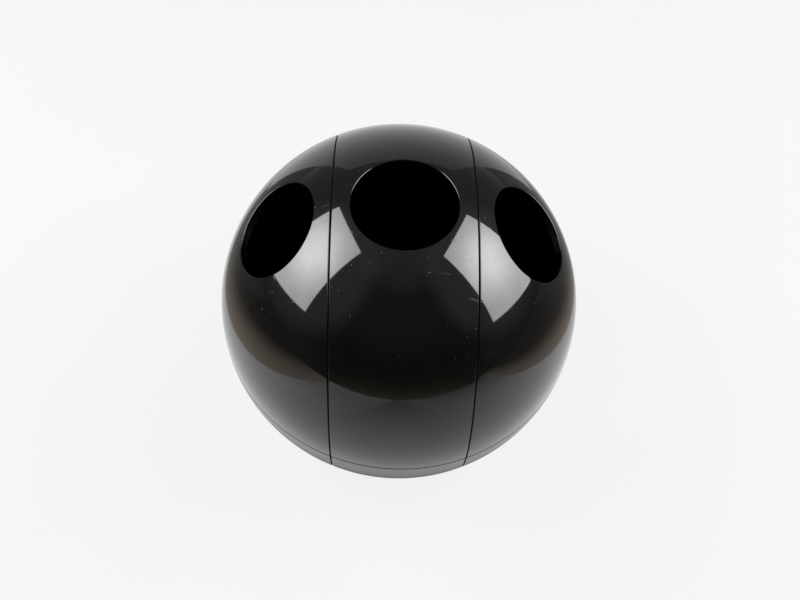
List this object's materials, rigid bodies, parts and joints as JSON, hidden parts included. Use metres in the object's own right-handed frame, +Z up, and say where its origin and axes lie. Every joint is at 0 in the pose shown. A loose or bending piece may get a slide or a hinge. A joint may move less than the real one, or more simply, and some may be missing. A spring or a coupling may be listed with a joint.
{
  "type": "sectioned holder ball",
  "caption": "Glossy black hollow ball cut into upright slices, each a holder with a round mouth; the outer slices turn on a level pivot and the centre slice stands on a foot ring.",
  "frame": {"origin": "on the surface the ball stands on, below the ball's centre", "axes": "+Z up, +X to the right along the pivots, +Y away from the viewer"},
  "size_m": [0.12, 0.12, 0.1158],
  "materials": {
    "gloss_black": "polished black styrene plastic",
    "inner_black": "moulded matt black plastic",
    "steel": "zinc plated steel",
    "brass": "turned brass",
    "fibre": "red vulcanised fibre",
    "iron": "cast iron, as cast",
    "rubber": "black rubber"
  },
  "bodies": {
    "centre_section": {"centre_upper_shell": "gloss_black", "centre_lower_shell": "gloss_black", "centre_left_wall": "inner_black", "centre_right_wall": "inner_black", "centre_shell_screws": "steel", "ballast_weight": "iron", "ballast_screws": "steel", "foot_ring": "rubber", "left_pivot_bolt": "steel", "left_flat_washer": "steel", "left_spring_washer": "steel", "left_pivot_nut": "steel", "right_pivot_bolt": "steel", "right_flat_washer": "steel", "right_spring_washer": "steel", "right_pivot_nut": "steel"},
    "left_section": {"left_upper_shell": "gloss_black", "left_lower_shell": "gloss_black", "left_inner_wall": "inner_black", "left_pivot_bush": "brass", "left_friction_washer": "fibre", "left_shell_screws": "steel"},
    "right_section": {"right_upper_shell": "gloss_black", "right_lower_shell": "gloss_black", "right_inner_wall": "inner_black", "right_pivot_bush": "brass", "right_friction_washer": "fibre", "right_shell_screws": "steel"}
  },
  "joints": [
    {"name": "left_turn", "type": "hinge", "parent": "centre_section", "child": "left_section", "pos_m": [-0.025, 0, 0.058], "axis": [1, 0, 0], "continuous": true},
    {"name": "right_turn", "type": "hinge", "parent": "centre_section", "child": "right_section", "pos_m": [0.025, 0, 0.058], "axis": [1, 0, 0], "continuous": true}
  ]
}
